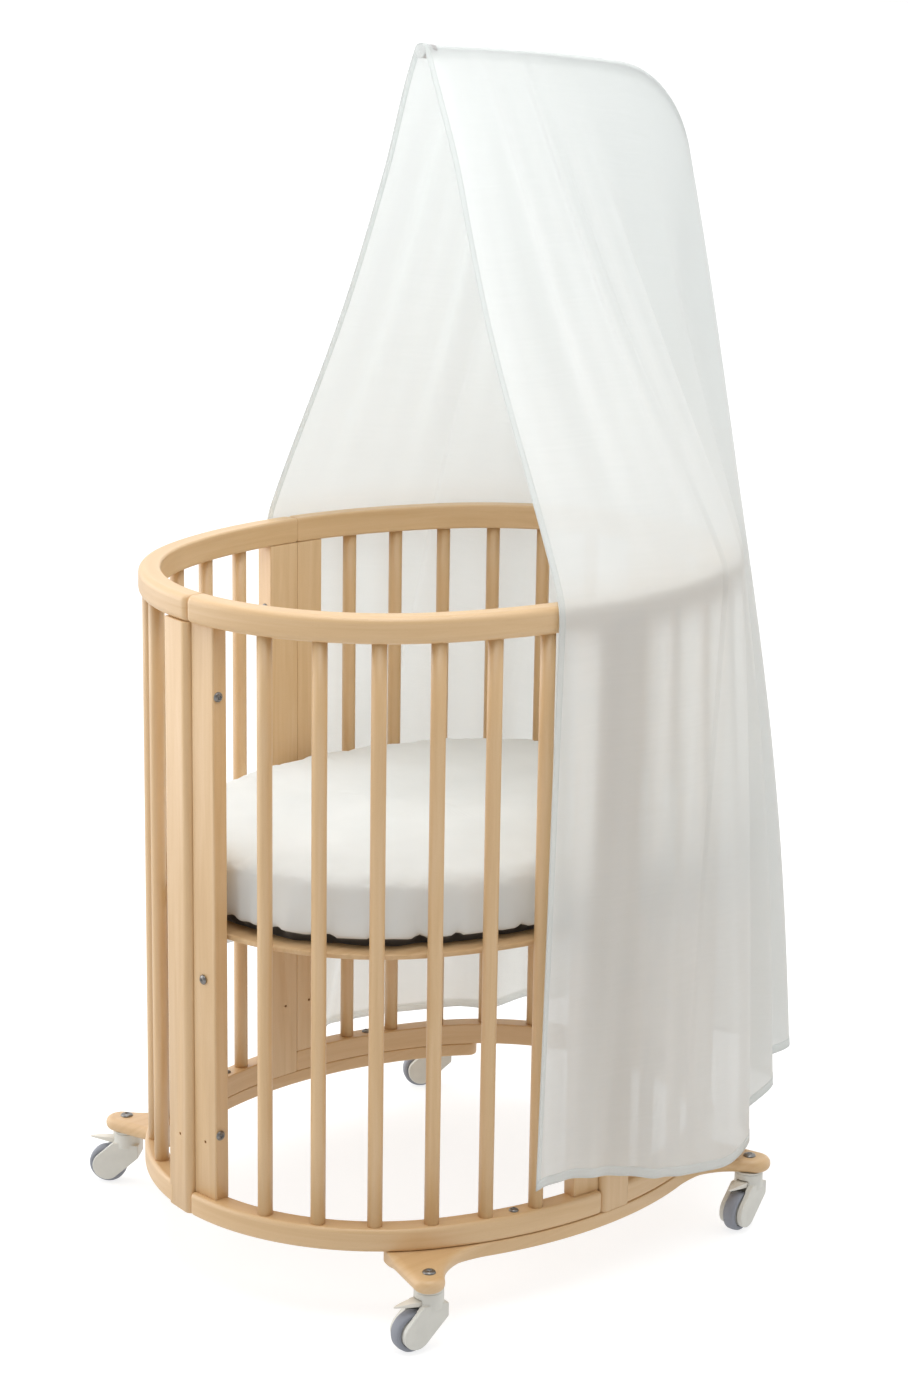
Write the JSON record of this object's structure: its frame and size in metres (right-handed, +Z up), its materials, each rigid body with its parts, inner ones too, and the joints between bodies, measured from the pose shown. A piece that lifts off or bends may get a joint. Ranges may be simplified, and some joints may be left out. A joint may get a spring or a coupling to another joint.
{
  "type": "baby crib",
  "caption": "Oval slatted wooden baby crib on locking swivel casters, with a height-set base, oval mattress and a sheer drape hung over a bent canopy rod.",
  "frame": {"origin": "centre of the oval on the floor that the four casters stand on", "axes": "+X to the head end, where the canopy rod stands; +Y to the left side seen from the foot end; +Z up"},
  "size_m": [0.8699, 0.697, 1.4755],
  "materials": {
    "beech": "satin lacquered beech",
    "beech_board": "satin lacquered beech board",
    "grey_tyre": "smooth matte rubber",
    "cream_plastic": "fine satin moulded plastic",
    "ivory_lever": "satin moulded plastic",
    "steel": "turned steel",
    "dark_steel": "dark plated steel",
    "clear_plastic": "frosted moulded plastic",
    "white_steel": "white powder coat",
    "white_plastic": "satin moulded plastic",
    "silver_cap": "polished cap",
    "mattress_cover": "plain woven cotton sheet",
    "voile": "sheer cotton voile"
  },
  "bodies": {
    "crib": {"base_bolts": "dark_steel", "base_brackets": "clear_plastic", "beam_bolts": "dark_steel", "canopy_drape": "voile", "canopy_rod": "white_steel", "caster_collars": "cream_plastic", "caster_stems": "dark_steel", "foot_left_bottom_rail": "beech", "foot_left_end_post": "beech", "foot_left_side_post": "beech", "foot_left_slats": "beech", "foot_left_top_rail": "beech", "foot_right_bottom_rail": "beech", "foot_right_end_post": "beech", "foot_right_side_post": "beech", "foot_right_slats": "beech", "foot_right_top_rail": "beech", "head_left_bottom_rail": "beech", "head_left_end_post": "beech", "head_left_side_post": "beech", "head_left_slats": "beech", "head_left_top_rail": "beech", "head_right_bottom_rail": "beech", "head_right_end_post": "beech", "head_right_side_post": "beech", "head_right_slats": "beech", "head_right_top_rail": "beech", "left_caster_beam": "beech", "mattress_base": "beech_board", "panel_bolts": "dark_steel", "panel_cap_nuts": "dark_steel", "right_caster_beam": "beech", "rod_holder_screws": "dark_steel", "rod_holders": "white_plastic", "rod_tip_cap": "silver_cap"},
    "foot_left_caster_swivel": {"foot_left_caster_axle": "steel", "foot_left_caster_fork": "cream_plastic"},
    "foot_left_caster_brake": {"foot_left_caster_brake_lever": "ivory_lever"},
    "foot_left_caster_wheel": {"foot_left_caster_hub": "cream_plastic", "foot_left_caster_tyre": "grey_tyre"},
    "foot_right_caster_swivel": {"foot_right_caster_axle": "steel", "foot_right_caster_fork": "cream_plastic"},
    "foot_right_caster_brake": {"foot_right_caster_brake_lever": "ivory_lever"},
    "foot_right_caster_wheel": {"foot_right_caster_hub": "cream_plastic", "foot_right_caster_tyre": "grey_tyre"},
    "head_left_caster_swivel": {"head_left_caster_axle": "steel", "head_left_caster_fork": "cream_plastic"},
    "head_left_caster_brake": {"head_left_caster_brake_lever": "ivory_lever"},
    "head_left_caster_wheel": {"head_left_caster_hub": "cream_plastic", "head_left_caster_tyre": "grey_tyre"},
    "head_right_caster_swivel": {"head_right_caster_axle": "steel", "head_right_caster_fork": "cream_plastic"},
    "head_right_caster_brake": {"head_right_caster_brake_lever": "ivory_lever"},
    "head_right_caster_wheel": {"head_right_caster_hub": "cream_plastic", "head_right_caster_tyre": "grey_tyre"},
    "mattress": {"mattress": "mattress_cover"}
  },
  "joints": [
    {"name": "mattress_lift", "type": "slide", "parent": "crib", "child": "mattress", "axis": [0, 0, 1], "range_m": [0, 0.3]},
    {"name": "foot_right_caster_turn", "type": "hinge", "parent": "crib", "child": "foot_right_caster_swivel", "pos_m": [-0.27, -0.305, 0.0737], "axis": [0, 0, 1], "continuous": true},
    {"name": "foot_right_wheel_roll", "type": "hinge", "parent": "foot_right_caster_swivel", "child": "foot_right_caster_wheel", "pos_m": [-0.29486, -0.30239, 0.025], "axis": [-0.1045, -0.9945, 0], "continuous": true},
    {"name": "foot_right_brake_press", "type": "hinge", "parent": "foot_right_caster_swivel", "child": "foot_right_caster_brake", "pos_m": [-0.28243, -0.30369, 0.0575], "axis": [-0.1045, -0.9945, 0], "range_deg": [0, 14]},
    {"name": "head_right_caster_turn", "type": "hinge", "parent": "crib", "child": "head_right_caster_swivel", "pos_m": [0.27, -0.305, 0.0737], "axis": [0, 0, 1], "continuous": true},
    {"name": "head_right_wheel_roll", "type": "hinge", "parent": "head_right_caster_swivel", "child": "head_right_caster_wheel", "pos_m": [0.24564, -0.31062, 0.025], "axis": [0.225, -0.9744, 0], "continuous": true},
    {"name": "head_right_brake_press", "type": "hinge", "parent": "head_right_caster_swivel", "child": "head_right_caster_brake", "pos_m": [0.25782, -0.30781, 0.0575], "axis": [0.225, -0.9744, 0], "range_deg": [0, 14]},
    {"name": "head_left_caster_turn", "type": "hinge", "parent": "crib", "child": "head_left_caster_swivel", "pos_m": [0.27, 0.305, 0.0737], "axis": [0, 0, 1], "continuous": true},
    {"name": "head_left_wheel_roll", "type": "hinge", "parent": "head_left_caster_swivel", "child": "head_left_caster_wheel", "pos_m": [0.24927, 0.31898, 0.025], "axis": [-0.5592, -0.829, 0], "continuous": true},
    {"name": "head_left_brake_press", "type": "hinge", "parent": "head_left_caster_swivel", "child": "head_left_caster_brake", "pos_m": [0.25964, 0.31199, 0.0575], "axis": [-0.5592, -0.829, 0], "range_deg": [0, 14]},
    {"name": "foot_left_caster_turn", "type": "hinge", "parent": "crib", "child": "foot_left_caster_swivel", "pos_m": [-0.27, 0.305, 0.0737], "axis": [0, 0, 1], "continuous": true},
    {"name": "foot_left_wheel_roll", "type": "hinge", "parent": "foot_left_caster_swivel", "child": "foot_left_caster_wheel", "pos_m": [-0.28673, 0.32358, 0.025], "axis": [-0.7431, -0.6691, 0], "continuous": true},
    {"name": "foot_left_brake_press", "type": "hinge", "parent": "foot_left_caster_swivel", "child": "foot_left_caster_brake", "pos_m": [-0.27836, 0.31429, 0.0575], "axis": [-0.7431, -0.6691, 0], "range_deg": [0, 14]}
  ]
}
